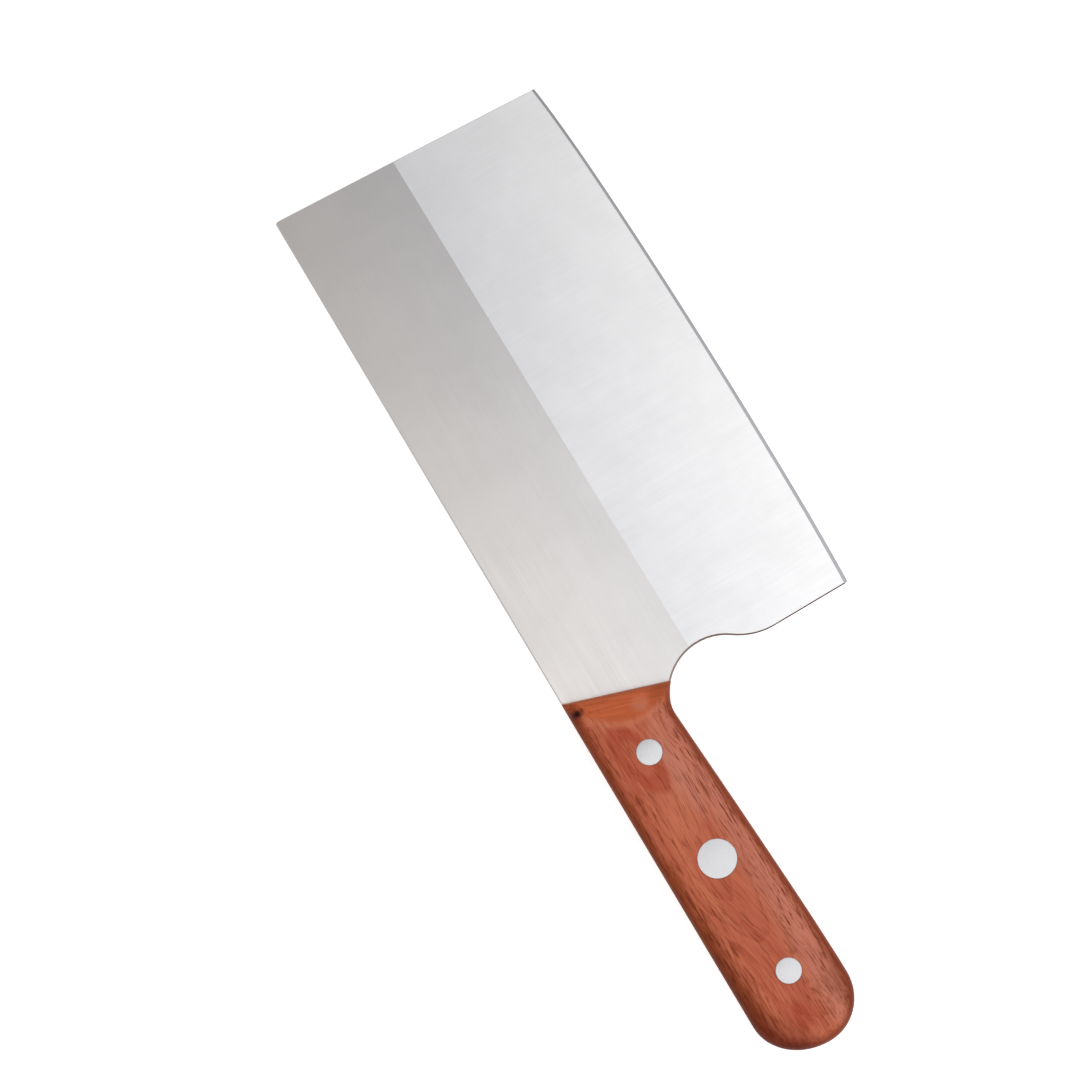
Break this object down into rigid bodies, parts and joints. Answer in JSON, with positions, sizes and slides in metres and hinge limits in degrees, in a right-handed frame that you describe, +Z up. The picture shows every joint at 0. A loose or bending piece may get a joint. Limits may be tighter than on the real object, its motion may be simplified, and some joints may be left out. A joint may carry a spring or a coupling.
{
  "type": "kitchen cleaver",
  "caption": "Kitchen cleaver with a tall straight-spined steel blade, a finger notch behind the heel and a riveted hardwood handle on a full tang, for slicing and light chopping.",
  "frame": {"origin": "bottom centre of the bounding box, with the knife lying on its left side", "axes": "+X towards the tip of the blade, +Y from the cutting edge towards the spine, +Z up, out of the right face of the blade"},
  "size_m": [0.3, 0.0948, 0.02],
  "materials": {
    "blade_steel": "satin ground stainless steel, polished lengthwise above the grind and across below it",
    "handle_wood": "sanded and oiled reddish hardwood with open pores along the handle",
    "rivet_metal": "satin stainless steel, ground flush with the wood"
  },
  "bodies": {
    "root": {"blade": "blade_steel", "right_scale": "handle_wood", "left_scale": "handle_wood", "front_rivet_pin": "rivet_metal", "front_rivet_sleeve": "rivet_metal", "middle_rivet_pin": "rivet_metal", "middle_rivet_sleeve": "rivet_metal", "rear_rivet_pin": "rivet_metal", "rear_rivet_sleeve": "rivet_metal"}
  },
  "joints": []
}
